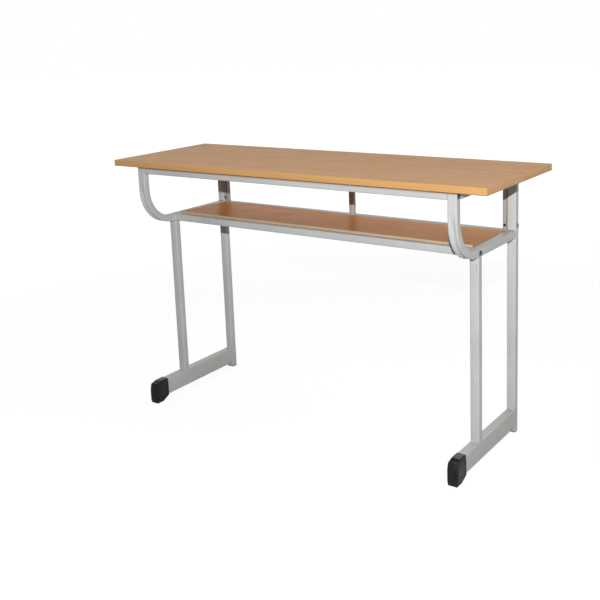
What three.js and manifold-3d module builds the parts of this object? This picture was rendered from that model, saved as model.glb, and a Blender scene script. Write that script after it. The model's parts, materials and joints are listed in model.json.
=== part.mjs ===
// A two-seat school desk: a wood-look desktop with a tilted book shelf under it, on a bolted
// frame of steel tube. Millimetres, +Z up, +X along the desktop, -Y towards the pupils.
// The origin lies on the floor under the middle of the desktop.

import * as THREE from 'three';
import { mergeVertices } from 'three/addons/utils/BufferGeometryUtils.js';
import Module from 'manifold-3d';

const wasm = await Module();
wasm.setup();

// Overall size
const DESK_LENGTH = 1200;
const DESK_DEPTH = 400;
const DESK_HEIGHT = 750;

// Desktop panel and its edge bands
const TOP_THICKNESS = 18;
const TOP_BAND = 2;
const TOP_BAND_ROUND = 1.5;

// Where the frame stands under the desktop
const END_OVERHANG = 82;
const FRONT_OVERHANG = 12;
const REAR_OVERHANG = 20;

// Tube of the end frames: width along the desk, depth in the plane of the frame
const FRAME_WIDTH = 25;
const FRAME_DEPTH = 20;
const FRAME_WALL = 1.5;
const TUBE_CORNER = 3;
const BEND_RADIUS = 100;
const BEND_STEPS = 12;
const UPRIGHT_BEHIND_BEND = 8;

// Clear height of the book space, from the shelf rails up to the rails under the desktop
const BOOK_SPACE = 142;

// Foot bar, on edge
const FOOT_HEIGHT = 50;
const FOOT_WALL = 2;
const FOOT_CLEARANCE = 15;

// Rails between the end frames
const RAIL_SIZE = 20;
const RAIL_WALL = 1.5;
const STRUT_SIZE = 16;
const STRUT_WALL = 1.2;
const INNER_POST_WIDTH = 13;
const INNER_POST_DEPTH = 20;
const INNER_POST_HOLE = 6;

// Book shelf, in the opening between its rails and the end frames
const SHELF_THICKNESS = 10;
const SHELF_BAND = 2;
const SHELF_TILT = THREE.MathUtils.degToRad(2);
const SHELF_PROUD = 5;
const SHELF_GAP = 1;

// Cleats on the rails that carry the shelf's front and rear edge
const CLEAT_COUNT = 2;
const CLEAT_PITCH = 600;
const CLEAT_WIDTH = 30;
const CLEAT_REACH = 26;
const CLEAT_PLATE = 2.5;
const CLEAT_LEG = 5;

// Moulded shoe on the front end of a foot bar
const SHOE_LENGTH = 52;
const SHOE_SLEEVE = 22;
const SHOE_WALL = 1.7;
const SHOE_TOE_HEIGHT = 62;
const SHOE_PAD = 29;
const SHOE_SPIGOT = 16;
const SHOE_PLAN_ROUND = 5;
const SHOE_TOE_ROUND = 4;
const SHOE_TOP_ROUND = 6;
const SHOE_HEEL_ROUND = 5;
const SHOE_MOUTH_ROUND = 0.5;
const SHOE_EDGE_ROUND = 1.1;

// Cap under a rear post
const CAP_FLANGE = 2.5;
const CAP_STEM = 14;
const CAP_STEM_INSET = 3;
const CAP_FIN = 1.2;
const CAP_FIN_COUNT = 3;

// Bolts, nuts and plugs, M6
const BOLT_DIAMETER = 6;
const BOLT_LENGTH = 35;
const BOLT_HEAD_DIAMETER = 13.6;
const BOLT_HEAD_HEIGHT = 3.3;
const BOLT_FLANGE = 1;
const BOLT_TIP_CHAMFER = 0.6;
const BOLT_SOCKET = 4;
const BOLT_SOCKET_DEPTH = 2.2;
const BOLT_FROM_RAIL = 13;
const NUT_ACROSS = 10;
const NUT_HEIGHT = 5;
const PLUG_LENGTH = 14;
const PLUG_CORNER = 1.2;

// Wood screws
const SCREW_DIAMETER = 4;
const SCREW_HEAD_DIAMETER = 8;
const SCREW_HEAD_HEIGHT = 2.6;
const SCREW_TIP = 3;
const SCREW_IN_TOP = 13;
const SCREW_IN_SHELF = 7;
const TOP_SCREW_OFFSET = 250;

// Gap to a cut or turned neighbour
const FIT = 0.3;

// How far a cutter or a joined block runs past the face it meets
const OVERSHOOT = 1;

// Levels and faces worked out from the sizes above
const TOP_UNDERSIDE = DESK_HEIGHT - TOP_THICKNESS;
const FRAME_X = DESK_LENGTH / 2 - END_OVERHANG - FRAME_WIDTH / 2;
const FRAME_INNER = FRAME_X - FRAME_WIDTH / 2;
const DESK_FRONT = -DESK_DEPTH / 2;
const DESK_REAR = DESK_DEPTH / 2;
const BENT_TUBE_FRONT = DESK_FRONT + FRONT_OVERHANG;
const BENT_TUBE_Y = BENT_TUBE_FRONT + FRAME_DEPTH / 2;
const POST_REAR = DESK_REAR - REAR_OVERHANG;
const POST_FRONT = POST_REAR - FRAME_DEPTH;
const POST_Y = POST_REAR - FRAME_DEPTH / 2;
const UPRIGHT_FRONT = BENT_TUBE_Y + BEND_RADIUS + UPRIGHT_BEHIND_BEND;
const UPRIGHT_Y = UPRIGHT_FRONT + FRAME_DEPTH / 2;
const FOOT_TOP = FOOT_CLEARANCE + FOOT_HEIGHT;
const FOOT_FRONT = DESK_FRONT + SHOE_LENGTH - SHOE_SLEEVE;
const TOP_RAIL_BOTTOM = TOP_UNDERSIDE - RAIL_SIZE;
const TOP_RAIL_Z = TOP_UNDERSIDE - RAIL_SIZE / 2;
const SHELF_RAIL_TOP = TOP_RAIL_BOTTOM - BOOK_SPACE;
const SHELF_RAIL_BOTTOM = SHELF_RAIL_TOP - RAIL_SIZE;
const RUN_Z = SHELF_RAIL_TOP - RAIL_SIZE / 2;
const RUN_BOTTOM = RUN_Z - FRAME_DEPTH / 2;
const BOLT_BORE = BOLT_DIAMETER + 2 * FIT;
const SCREW_BORE = SCREW_DIAMETER + 2 * FIT;

// Facets: a corner of tube has twice this many, and bolts and screws have these sides
const CORNER_SEGMENTS = 2;
const BOLT_SIDES = 16;
const SCREW_SIDES = 10;

const frameGrey = new THREE.MeshStandardMaterial({ color: 0xc3c6c9, roughness: 0.45, metalness: 0.2 });
const woodTop = new THREE.MeshStandardMaterial({ color: 0xbd9c78, roughness: 0.5, metalness: 0 });
const bandTan = new THREE.MeshStandardMaterial({ color: 0xd9a878, roughness: 0.5, metalness: 0 });
const shelfWood = new THREE.MeshStandardMaterial({ color: 0xa87b5a, roughness: 0.5, metalness: 0 });
const bandCream = new THREE.MeshStandardMaterial({ color: 0xd8c3ab, roughness: 0.5, metalness: 0 });
const shoeBlack = new THREE.MeshStandardMaterial({ color: 0x2b2b2d, roughness: 0.6, metalness: 0 });
const boltDark = new THREE.MeshStandardMaterial({ color: 0x4a4a4c, roughness: 0.4, metalness: 0.7 });
const zincSteel = new THREE.MeshStandardMaterial({ color: 0xaeb0b2, roughness: 0.35, metalness: 0.8 });

// A closed three.js geometry as a manifold solid, and back
function toSolid(geometry) {
  const bare = geometry.clone();
  bare.deleteAttribute('normal');
  bare.deleteAttribute('uv');
  const merged = mergeVertices(bare, 1e-4);
  const corners = merged.index.array;
  const kept = [];
  for (let i = 0; i < corners.length; i += 3) {
    const [a, b, c] = corners.slice(i, i + 3);
    if (a !== b && b !== c && c !== a) kept.push(a, b, c);
  }
  return new wasm.Manifold(new wasm.Mesh({
    numProp: 3,
    vertProperties: new Float32Array(merged.attributes.position.array),
    triVerts: new Uint32Array(kept),
  }));
}

function toGeometry(solid) {
  const mesh = solid.getMesh();
  const geometry = new THREE.BufferGeometry();
  geometry.setAttribute('position', new THREE.BufferAttribute(mesh.vertProperties, 3));
  geometry.setIndex(new THREE.BufferAttribute(mesh.triVerts, 1));
  geometry.computeVertexNormals();
  return geometry;
}

function cut(geometry, ...cutters) {
  let solid = toSolid(geometry);
  for (const cutter of cutters) solid = solid.subtract(toSolid(cutter));
  return toGeometry(solid);
}

function join(geometry, ...others) {
  let solid = toSolid(geometry);
  for (const other of others) solid = solid.add(toSolid(other));
  return toGeometry(solid);
}

// A rectangle with round corners, centred on the origin
function roundedRect(width, height, radius, OutlineClass = THREE.Shape) {
  const x = width / 2 - radius;
  const y = height / 2 - radius;
  const outline = new OutlineClass();
  outline.moveTo(x + radius, -y);
  outline.lineTo(x + radius, y);
  outline.absarc(x, y, radius, 0, Math.PI / 2);
  outline.lineTo(-x, y + radius);
  outline.absarc(-x, y, radius, Math.PI / 2, Math.PI);
  outline.lineTo(-x - radius, -y);
  outline.absarc(-x, -y, radius, Math.PI, Math.PI * 1.5);
  outline.lineTo(x, -y - radius);
  outline.absarc(x, -y, radius, Math.PI * 1.5, Math.PI * 2);
  return outline;
}

// An outline through [u, v, radius] corners, each rounded by its radius
function roundedOutline(corners) {
  const outline = new THREE.Shape();
  const count = corners.length;
  corners.forEach(([u, v, radius], i) => {
    const corner = new THREE.Vector2(u, v);
    const before = new THREE.Vector2(...corners[(i + count - 1) % count]);
    const after = new THREE.Vector2(...corners[(i + 1) % count]);
    const entry = before.sub(corner).setLength(radius).add(corner);
    const exit = after.sub(corner).setLength(radius).add(corner);
    if (i === 0) outline.moveTo(entry.x, entry.y);
    else outline.lineTo(entry.x, entry.y);
    if (radius > 0) outline.quadraticCurveTo(corner.x, corner.y, exit.x, exit.y);
  });
  outline.closePath();
  return outline;
}

function tubeSection(width, height, wall) {
  const section = roundedRect(width, height, TUBE_CORNER);
  const innerRadius = Math.max(TUBE_CORNER - wall, FIT);
  section.holes.push(roundedRect(width - 2 * wall, height - 2 * wall, innerRadius, THREE.Path));
  return section;
}

function extrude(shape, length, extra = {}) {
  const options = { depth: length, bevelEnabled: false, curveSegments: CORNER_SEGMENTS, ...extra };
  return new THREE.ExtrudeGeometry(shape, options);
}

// Turns a geometry made along +Z so that it runs along +X or +Y
function alongAxis(geometry, axis) {
  if (axis === 'x') return geometry.rotateY(Math.PI / 2);
  if (axis === 'y') return geometry.rotateX(-Math.PI / 2);
  return geometry;
}

// A straight tube that fills the box from low to high and runs along the axis
function straightTube(axis, low, high, wall) {
  const size = [0, 1, 2].map((i) => high[i] - low[i]);
  const middle = [0, 1, 2].map((i) => (high[i] + low[i]) / 2);
  const [width, height, length, start] = {
    x: [size[2], size[1], size[0], [low[0], middle[1], middle[2]]],
    y: [size[0], size[2], size[1], [middle[0], low[1], middle[2]]],
    z: [size[0], size[1], size[2], [middle[0], middle[1], low[2]]],
  }[axis];
  const tube = alongAxis(extrude(tubeSection(width, height, wall), length), axis);
  return tube.translate(...start);
}

function block(low, high) {
  const size = [0, 1, 2].map((i) => high[i] - low[i]);
  const middle = [0, 1, 2].map((i) => (high[i] + low[i]) / 2);
  return new THREE.BoxGeometry(...size).translate(...middle);
}

// Turns a side view, drawn with u along +Y and v along +Z, so that it is extruded along +X
const SIDE_VIEW = new THREE.Matrix4().makeBasis(
  new THREE.Vector3(0, 1, 0), new THREE.Vector3(0, 0, 1), new THREE.Vector3(1, 0, 0),
);

// A round cutter of the given length that starts at a point and runs along +axis
function drill(axis, diameter, length, start) {
  const sides = diameter > SCREW_BORE ? BOLT_SIDES : SCREW_SIDES;
  const cylinder = new THREE.CylinderGeometry(diameter / 2, diameter / 2, length, sides);
  cylinder.rotateX(Math.PI / 2).translate(0, 0, length / 2);
  return alongAxis(cylinder, axis).translate(...start);
}

function hexagon(across) {
  const radius = across / Math.sqrt(3);
  const corners = Array.from({ length: 6 }, (_, i) => {
    const angle = (i * Math.PI) / 3;
    return new THREE.Vector2(radius * Math.cos(angle), radius * Math.sin(angle));
  });
  return new THREE.Shape(corners);
}

// A turned piece from [radius, height] points, with its axis along +Z
function turned(profile, sides) {
  const points = profile.map(([radius, height]) => new THREE.Vector2(radius, height));
  return new THREE.LatheGeometry(points, sides).rotateX(Math.PI / 2);
}

function piece(parent, name, geometry, material, position = [0, 0, 0]) {
  const mesh = new THREE.Mesh(geometry, material);
  mesh.name = name;
  mesh.position.set(...position);
  parent.add(mesh);
  return mesh;
}

// Fasteners, seat at z = 0 and shank along +Z
function boltGeometry() {
  const head = BOLT_HEAD_DIAMETER / 2;
  const shank = BOLT_DIAMETER / 2;
  const dome = [[0.45, 1], [0.75, 0.8], [0.92, 0.5]].map(([radius, height]) => (
    [radius * head, -height * BOLT_HEAD_HEIGHT]
  ));
  const body = turned([
    [0, -BOLT_HEAD_HEIGHT],
    ...dome,
    [head, -BOLT_FLANGE],
    [head, 0],
    [shank, 0],
    [shank, BOLT_LENGTH - BOLT_TIP_CHAMFER],
    [shank - BOLT_TIP_CHAMFER, BOLT_LENGTH],
    [0, BOLT_LENGTH],
  ], BOLT_SIDES);
  const socket = extrude(hexagon(BOLT_SOCKET), BOLT_HEAD_HEIGHT);
  socket.translate(0, 0, BOLT_SOCKET_DEPTH - 2 * BOLT_HEAD_HEIGHT);
  return cut(body, socket);
}

function screwGeometry(length) {
  const head = SCREW_HEAD_DIAMETER / 2;
  const shank = SCREW_DIAMETER / 2;
  return turned([
    [0, -SCREW_HEAD_HEIGHT],
    [head * 0.6, -SCREW_HEAD_HEIGHT],
    [head, -SCREW_HEAD_HEIGHT * 0.4],
    [head, 0],
    [shank, 0],
    [shank, length - SCREW_TIP],
    [0, length],
  ], SCREW_SIDES);
}

function nutGeometry() {
  const outline = hexagon(NUT_ACROSS);
  outline.holes.push(new THREE.Path().absarc(0, 0, BOLT_BORE / 2, 0, Math.PI * 2));
  return extrude(outline, NUT_HEIGHT, { curveSegments: BOLT_SIDES / 2 });
}

// The path of the bent tube in the plane of the end frame: down from the desktop, round the
// bend and back to the post. Stations fall on the ends of the straights and along the bend.
class BentTubePath extends THREE.Curve {
  getPointAt(share) {
    const station = Math.round(share * (BEND_STEPS + 2));
    const centreY = BENT_TUBE_Y + BEND_RADIUS;
    const centreZ = RUN_Z + BEND_RADIUS;
    if (station === 0) return new THREE.Vector3(0, BENT_TUBE_Y, TOP_UNDERSIDE);
    if (station > BEND_STEPS + 1) return new THREE.Vector3(0, POST_FRONT, RUN_Z);
    const angle = ((station - 1) / BEND_STEPS) * (Math.PI / 2);
    const y = centreY - BEND_RADIUS * Math.cos(angle);
    const z = centreZ - BEND_RADIUS * Math.sin(angle);
    return new THREE.Vector3(0, y, z);
  }

  getTangentAt(share) {
    const station = Math.round(share * (BEND_STEPS + 2));
    const along = THREE.MathUtils.clamp((station - 1) / BEND_STEPS, 0, 1);
    const angle = along * (Math.PI / 2);
    return new THREE.Vector3(0, Math.sin(angle), -Math.cos(angle));
  }
}

function bentTubeGeometry() {
  // Along this path the section's x lies in the plane of the frame and its y along the desk
  const section = tubeSection(FRAME_DEPTH, FRAME_WIDTH, FRAME_WALL);
  const tube = extrude(section, 0, { steps: BEND_STEPS + 2, extrudePath: new BentTubePath() });
  const left = -FRAME_WIDTH;
  const topBore = drill('x', BOLT_BORE, 2 * FRAME_WIDTH, [left, BENT_TUBE_Y, TOP_RAIL_Z]);
  const runBore = drill('x', BOLT_BORE, 2 * FRAME_WIDTH, [left, UPRIGHT_Y, RUN_Z]);
  return cut(tube, topBore, runBore);
}

// Heights of the two bolts through a rear post and its inner vertical
const REAR_BOLT_HEIGHTS = [
  SHELF_RAIL_TOP + BOLT_FROM_RAIL,
  TOP_RAIL_BOTTOM - BOLT_FROM_RAIL,
];

function rearPostGeometry() {
  const low = [-FRAME_WIDTH / 2, POST_FRONT, CAP_FLANGE];
  const high = [FRAME_WIDTH / 2, POST_REAR, TOP_UNDERSIDE];
  const bores = REAR_BOLT_HEIGHTS.map((z) => (
    drill('x', BOLT_BORE, 2 * FRAME_WIDTH, [-FRAME_WIDTH, POST_Y, z])
  ));
  return cut(straightTube('z', low, high, FRAME_WALL), ...bores);
}

// The shoe: a toe that the bar ends against, a sleeve round the bar and a spigot inside it
function shoeGeometry() {
  const width = FRAME_WIDTH + 2 * (FIT + SHOE_WALL);
  const top = FOOT_TOP + FIT + SHOE_WALL;
  const sleeveBottom = FOOT_CLEARANCE - FIT - SHOE_WALL;
  const barFace = SHOE_LENGTH - SHOE_SLEEVE - FIT;
  const edge = SHOE_EDGE_ROUND;
  const side = roundedOutline([
    [edge, edge, SHOE_TOE_ROUND],
    [SHOE_PAD, edge, SHOE_HEEL_ROUND],
    [SHOE_LENGTH - edge, sleeveBottom + edge, SHOE_MOUTH_ROUND],
    [SHOE_LENGTH - edge, top - edge, SHOE_MOUTH_ROUND],
    [barFace, top - edge, SHOE_TOP_ROUND],
    [edge, SHOE_TOE_HEIGHT - edge, SHOE_TOP_ROUND],
  ]);
  const profile = extrude(side, width - 2 * edge, {
    bevelEnabled: true, bevelThickness: edge, bevelSize: edge, bevelSegments: 2, curveSegments: 3,
  });
  profile.translate(0, 0, edge - width / 2).applyMatrix4(SIDE_VIEW);

  const plan = extrude(roundedOutline([
    [-width / 2, 0, SHOE_PLAN_ROUND],
    [width / 2, 0, SHOE_PLAN_ROUND],
    [width / 2, SHOE_LENGTH + OVERSHOOT, 0],
    [-width / 2, SHOE_LENGTH + OVERSHOOT, 0],
  ]), top + 2 * OVERSHOOT, { curveSegments: 5 }).translate(0, 0, -OVERSHOOT);

  const outer = toSolid(profile).intersect(toSolid(plan));
  const pocket = block(
    [-FRAME_WIDTH / 2 - FIT, barFace, FOOT_CLEARANCE - FIT],
    [FRAME_WIDTH / 2 + FIT, SHOE_LENGTH + OVERSHOOT, FOOT_TOP + FIT],
  );
  const inset = FOOT_WALL + FIT;
  const spigot = extrude(
    roundedRect(FRAME_WIDTH - 2 * inset, FOOT_HEIGHT - 2 * inset, PLUG_CORNER),
    SHOE_SPIGOT + OVERSHOOT,
  );
  alongAxis(spigot, 'y').translate(0, barFace - OVERSHOOT, FOOT_CLEARANCE + FOOT_HEIGHT / 2);
  const shoe = outer.subtract(toSolid(pocket)).add(toSolid(spigot));
  return toGeometry(shoe).translate(0, DESK_FRONT, 0);
}

// The cap: a flange as wide as the post on a finned stem that presses into it
function capGeometry() {
  const boreWidth = FRAME_WIDTH - 2 * (FRAME_WALL + FIT);
  const boreDepth = FRAME_DEPTH - 2 * (FRAME_WALL + FIT);
  const flange = extrude(roundedRect(FRAME_WIDTH, FRAME_DEPTH, TUBE_CORNER), CAP_FLANGE);
  const stem = block(
    [CAP_STEM_INSET - boreWidth / 2, CAP_STEM_INSET - boreDepth / 2, CAP_FLANGE / 2],
    [boreWidth / 2 - CAP_STEM_INSET, boreDepth / 2 - CAP_STEM_INSET, CAP_FLANGE + CAP_STEM],
  );
  const finGap = CAP_STEM / CAP_FIN_COUNT;
  const fins = Array.from({ length: CAP_FIN_COUNT }, (_, i) => (
    extrude(roundedRect(boreWidth, boreDepth, PLUG_CORNER), CAP_FIN, { curveSegments: 1 })
      .translate(0, 0, CAP_FLANGE + (i + 1) * finGap - 2 * CAP_FIN)
  ));
  return join(flange, stem, ...fins).translate(0, POST_Y, 0);
}

function addEndFrame(parent, label, side) {
  const frame = new THREE.Group();
  frame.position.x = side * FRAME_X;
  parent.add(frame);
  const half = FRAME_WIDTH / 2;

  piece(frame, `bent_tube_${label}`, bentTubeGeometry(), frameGrey);
  piece(frame, `rear_post_${label}`, rearPostGeometry(), frameGrey);

  const railMiddle = (BENT_TUBE_FRONT + FRAME_DEPTH + POST_FRONT) / 2;
  const topRail = straightTube(
    'y',
    [-half, BENT_TUBE_FRONT + FRAME_DEPTH, TOP_UNDERSIDE - FRAME_DEPTH],
    [half, POST_FRONT, TOP_UNDERSIDE],
    FRAME_WALL,
  );
  const screwBore = drill('z', SCREW_BORE, FRAME_DEPTH + 2 * OVERSHOOT,
    [0, railMiddle, TOP_UNDERSIDE - FRAME_DEPTH - OVERSHOOT]);
  piece(frame, `side_top_rail_${label}`, cut(topRail, screwBore), frameGrey);
  piece(frame, `desktop_screw_${label}`, screwGeometry(FRAME_DEPTH + SCREW_IN_TOP), zincSteel,
    [0, railMiddle, TOP_UNDERSIDE - FRAME_DEPTH]);

  piece(frame, `front_upright_${label}`, straightTube(
    'z',
    [-half, UPRIGHT_FRONT, FOOT_TOP],
    [half, UPRIGHT_FRONT + FRAME_DEPTH, RUN_BOTTOM],
    FRAME_WALL,
  ), frameGrey);
  piece(frame, `foot_bar_${label}`, straightTube(
    'y',
    [-half, FOOT_FRONT, FOOT_CLEARANCE],
    [half, POST_FRONT, FOOT_TOP],
    FOOT_WALL,
  ), frameGrey);
  piece(frame, `shoe_${label}`, shoeGeometry(), shoeBlack);
  piece(frame, `post_cap_${label}`, capGeometry(), shoeBlack);

  // Bolts go in from the outer face, which is where their heads seat
  const boltPlaces = {
    front_rail: [BENT_TUBE_Y, TOP_RAIL_Z],
    shelf_rail: [UPRIGHT_Y, RUN_Z],
    post_low: [POST_Y, REAR_BOLT_HEIGHTS[0]],
    post_high: [POST_Y, REAR_BOLT_HEIGHTS[1]],
  };
  for (const [place, [y, z]] of Object.entries(boltPlaces)) {
    const bolt = boltGeometry().rotateY((-side * Math.PI) / 2);
    piece(frame, `bolt_${place}_${label}`, bolt, boltDark, [side * half, y, z]);
  }
}

// Drills a rail under the desktop for the two screws that go up through it
function cutForScrews(rail, y) {
  const bores = [-TOP_SCREW_OFFSET, TOP_SCREW_OFFSET].map((x) => (
    drill('z', SCREW_BORE, RAIL_SIZE + 2 * OVERSHOOT, [x, y, TOP_RAIL_BOTTOM - OVERSHOOT])
  ));
  return cut(rail, ...bores);
}

function addCrossRails(parent) {
  const shelfRailLevels = [SHELF_RAIL_BOTTOM, SHELF_RAIL_TOP];
  const topRailLevels = [TOP_RAIL_BOTTOM, TOP_UNDERSIDE];
  const rail = (centreY, [bottom, top]) => straightTube(
    'x',
    [-FRAME_INNER, centreY - RAIL_SIZE / 2, bottom],
    [FRAME_INNER, centreY + RAIL_SIZE / 2, top],
    RAIL_WALL,
  );
  const rearRailY = POST_FRONT + RAIL_SIZE / 2;

  const frontTop = rail(BENT_TUBE_Y, topRailLevels);
  const rearTop = rail(rearRailY, topRailLevels);
  piece(parent, 'front_top_rail', cutForScrews(frontTop, BENT_TUBE_Y), frameGrey);
  piece(parent, 'rear_top_rail', cutForScrews(rearTop, rearRailY), frameGrey);
  piece(parent, 'front_shelf_rail', rail(UPRIGHT_Y, shelfRailLevels), frameGrey);
  piece(parent, 'rear_shelf_rail', rail(rearRailY, shelfRailLevels), frameGrey);

  piece(parent, 'middle_strut', straightTube(
    'z',
    [-STRUT_SIZE / 2, POST_FRONT, SHELF_RAIL_TOP],
    [STRUT_SIZE / 2, POST_FRONT + STRUT_SIZE, TOP_RAIL_BOTTOM],
    STRUT_WALL,
  ), frameGrey);

  for (const [label, side] of [['left', -1], ['right', 1]]) {
    for (const [place, y] of [['front', BENT_TUBE_Y], ['shelf', UPRIGHT_Y]]) {
      const z = place === 'front' ? TOP_RAIL_Z : RUN_Z;
      piece(parent, `rail_plug_${place}_${label}`, railPlugGeometry(side), zincSteel,
        [side * FRAME_INNER, y, z]);
    }
    for (const [place, y] of [['front', BENT_TUBE_Y], ['rear', rearRailY]]) {
      piece(parent, `desktop_screw_${place}_${label}`, screwGeometry(RAIL_SIZE + SCREW_IN_TOP),
        zincSteel, [side * TOP_SCREW_OFFSET, y, TOP_RAIL_BOTTOM]);
    }
    addInnerVertical(parent, label, side);
  }
}

// The threaded plug in the end of a front rail, flush with the rail's end
function railPlugGeometry(side) {
  const width = RAIL_SIZE - 2 * (RAIL_WALL + FIT);
  const plug = extrude(roundedRect(width, width, PLUG_CORNER), PLUG_LENGTH, { curveSegments: 1 });
  const bore = drill('z', BOLT_BORE, PLUG_LENGTH + 2 * OVERSHOOT, [0, 0, -OVERSHOOT]);
  const bored = cut(plug, bore);
  return alongAxis(bored, 'x').translate(side > 0 ? -PLUG_LENGTH : 0, 0, 0);
}

// The slim tube beside a rear post: both bolts end in nuts welded inside its outer wall
function addInnerVertical(parent, label, side) {
  const outerX = side * FRAME_INNER;
  const innerX = side * (FRAME_INNER - INNER_POST_WIDTH);
  const low = [Math.min(outerX, innerX), POST_FRONT, SHELF_RAIL_TOP];
  const high = [Math.max(outerX, innerX), POST_FRONT + INNER_POST_DEPTH, TOP_RAIL_BOTTOM];
  const tube = straightTube('z', low, high, RAIL_WALL);
  // Each hole goes through one wall only, from a wall's thickness before it to as far behind
  const throughOneWall = 3 * RAIL_WALL;
  const wallMiddle = outerX - (side * RAIL_WALL) / 2;
  const cutters = REAR_BOLT_HEIGHTS.flatMap((z) => [
    drill('x', BOLT_BORE, throughOneWall, [wallMiddle - throughOneWall / 2, POST_Y, z]),
    drill('y', INNER_POST_HOLE, throughOneWall,
      [(outerX + innerX) / 2, POST_FRONT - RAIL_WALL, z]),
  ]);
  piece(parent, `inner_vertical_${label}`, cut(tube, ...cutters), frameGrey);
  REAR_BOLT_HEIGHTS.forEach((z, i) => {
    const nut = nutGeometry().rotateY((-side * Math.PI) / 2);
    const place = ['low', 'high'][i];
    piece(parent, `weld_nut_${place}_${label}`, nut, zincSteel,
      [outerX - side * RAIL_WALL, POST_Y, z]);
  });
}

function addDesktop(parent) {
  const top = new THREE.Group();
  top.position.z = TOP_UNDERSIDE;
  parent.add(top);
  const x = DESK_LENGTH / 2 - TOP_BAND;
  const y = DESK_DEPTH / 2 - TOP_BAND;
  const screwPlaces = [];
  for (const side of [-1, 1]) {
    screwPlaces.push([side * FRAME_X, (BENT_TUBE_FRONT + FRAME_DEPTH + POST_FRONT) / 2]);
    screwPlaces.push([side * TOP_SCREW_OFFSET, BENT_TUBE_Y]);
    screwPlaces.push([side * TOP_SCREW_OFFSET, POST_FRONT + RAIL_SIZE / 2]);
  }
  const bores = screwPlaces.map(([screwX, screwY]) => (
    drill('z', SCREW_BORE, SCREW_IN_TOP + FIT + OVERSHOOT, [screwX, screwY, -OVERSHOOT])
  ));
  const panel = cut(block([-x, -y, 0], [x, y, TOP_THICKNESS]), ...bores);
  piece(top, 'desktop', panel, woodTop);

  // Band profile: outer face at u = 0, rounded at its outer edges
  const profile = () => roundedOutline([
    [0, 0, TOP_BAND_ROUND],
    [TOP_BAND, 0, 0],
    [TOP_BAND, TOP_THICKNESS, 0],
    [0, TOP_THICKNESS, TOP_BAND_ROUND],
  ]);
  const band = (length) => extrude(profile(), length).translate(0, 0, -length / 2);
  const bandAlongX = () => band(DESK_LENGTH).applyMatrix4(SIDE_VIEW);
  const bandAlongY = () => band(2 * y).applyMatrix4(SIDE_VIEW).rotateZ(-Math.PI / 2);
  piece(top, 'edge_band_front', bandAlongX(), bandTan, [0, -DESK_DEPTH / 2, 0]);
  piece(top, 'edge_band_rear', bandAlongX().rotateZ(Math.PI), bandTan, [0, DESK_DEPTH / 2, 0]);
  piece(top, 'edge_band_left', bandAlongY(), bandTan, [-DESK_LENGTH / 2, 0, 0]);
  piece(top, 'edge_band_right', bandAlongY().rotateZ(Math.PI), bandTan, [DESK_LENGTH / 2, 0, 0]);
}

// The shelf lies between its rails: its front edge stands a little proud of the front rail, and
// it falls towards the rear
const SHELF_FRONT = UPRIGHT_Y + RAIL_SIZE / 2 + SHELF_GAP;
const SHELF_FRONT_BOTTOM = SHELF_RAIL_TOP + SHELF_PROUD - SHELF_THICKNESS * Math.cos(SHELF_TILT);

function shelfUnderside(y) {
  return SHELF_FRONT_BOTTOM - (y - SHELF_FRONT) * Math.tan(SHELF_TILT);
}

// A cleat: a bent plate on a rail's face, its upper leg parallel to the shelf. The shelf lies
// inward of the rail along Y, +1 or -1.
function cleatGeometry(railFace, inward) {
  const top = (reach) => shelfUnderside(railFace + inward * reach) - FIT;
  const outline = new THREE.Shape([
    [0, top(0) - CLEAT_LEG],
    [0, top(0)],
    [CLEAT_REACH, top(CLEAT_REACH)],
    [CLEAT_REACH, top(CLEAT_REACH) - CLEAT_PLATE],
    [CLEAT_PLATE, top(CLEAT_PLATE) - CLEAT_PLATE],
    [CLEAT_PLATE, top(0) - CLEAT_LEG],
  ].map(([reach, height]) => new THREE.Vector2(inward * reach, height)));
  const plate = extrude(outline, CLEAT_WIDTH).translate(0, 0, -CLEAT_WIDTH / 2);
  plate.applyMatrix4(SIDE_VIEW);
  const bore = drill('z', SCREW_BORE, 2 * CLEAT_LEG,
    [0, (inward * CLEAT_REACH) / 2, top(CLEAT_REACH / 2) - CLEAT_LEG]);
  return cut(plate, bore).translate(0, railFace, 0);
}

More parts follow.
